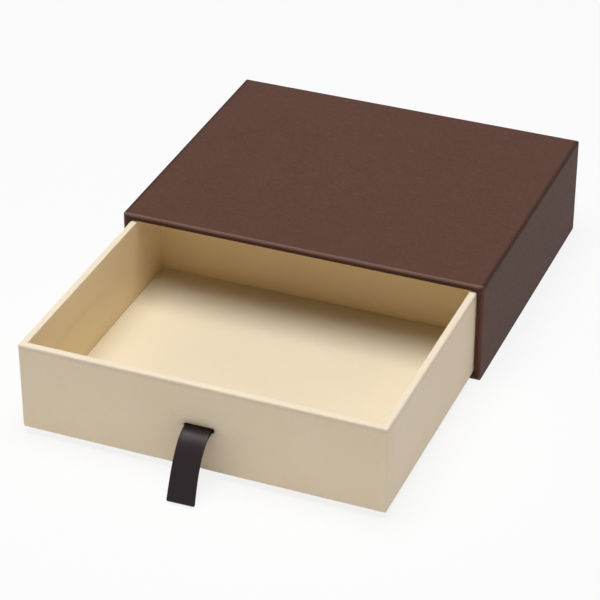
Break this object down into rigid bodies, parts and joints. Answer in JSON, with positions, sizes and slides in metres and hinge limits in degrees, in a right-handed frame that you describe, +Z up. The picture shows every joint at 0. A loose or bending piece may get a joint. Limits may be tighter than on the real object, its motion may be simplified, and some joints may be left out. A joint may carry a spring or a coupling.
{
  "type": "sliding drawer gift box",
  "caption": "Rigid cardboard gift box: a cream tray with a ribbon pull slides out of a brown paper-wrapped sleeve.",
  "frame": {"origin": "centre of the sleeve's underside, on the surface that the box stands on", "axes": "+Z up; -Y is the way the drawer slides out of the sleeve's mouth; X runs across the box"},
  "size_m": [0.17, 0.2721, 0.048],
  "materials": {
    "brown_paper": "matt fine-grained brown wrap paper",
    "cream_paper": "matt cream wrap paper with a faint linen grain",
    "dark_lining": "plain dark brown lining paper",
    "cream_lining": "plain cream lining paper",
    "greyboard": "grey recycled board",
    "kraft_tape": "thin gummed kraft tape",
    "ribbon": "dark brown satin ribbon"
  },
  "bodies": {
    "sleeve": {"sleeve_top_board": "greyboard", "sleeve_bottom_board": "greyboard", "sleeve_left_board": "greyboard", "sleeve_right_board": "greyboard", "sleeve_back_board": "greyboard", "sleeve_edge_tapes": "kraft_tape", "sleeve_wrap": "brown_paper", "sleeve_base_sheet": "brown_paper", "sleeve_back_sheet": "brown_paper", "sleeve_wall_lining": "dark_lining", "sleeve_back_lining": "dark_lining"},
    "drawer": {"drawer_base_board": "greyboard", "drawer_front_board": "greyboard", "drawer_back_board": "greyboard", "drawer_left_board": "greyboard", "drawer_right_board": "greyboard", "drawer_corner_tapes": "kraft_tape", "drawer_wrap": "cream_paper", "drawer_wall_lining": "cream_lining", "drawer_floor_lining": "cream_lining", "ribbon_tails": "ribbon", "ribbon_patch": "cream_lining"},
    "ribbon": {"ribbon_loop": "ribbon"}
  },
  "joints": [
    {"name": "drawer_slide", "type": "slide", "parent": "sleeve", "child": "drawer", "axis": [0, -1, 0], "range_m": [-0.109, 0.035]},
    {"name": "ribbon_lift", "type": "hinge", "parent": "drawer", "child": "ribbon", "pos_m": [0, -0.1795, 0.02445], "axis": [-1, 0, 0], "range_deg": [0, 75]}
  ]
}
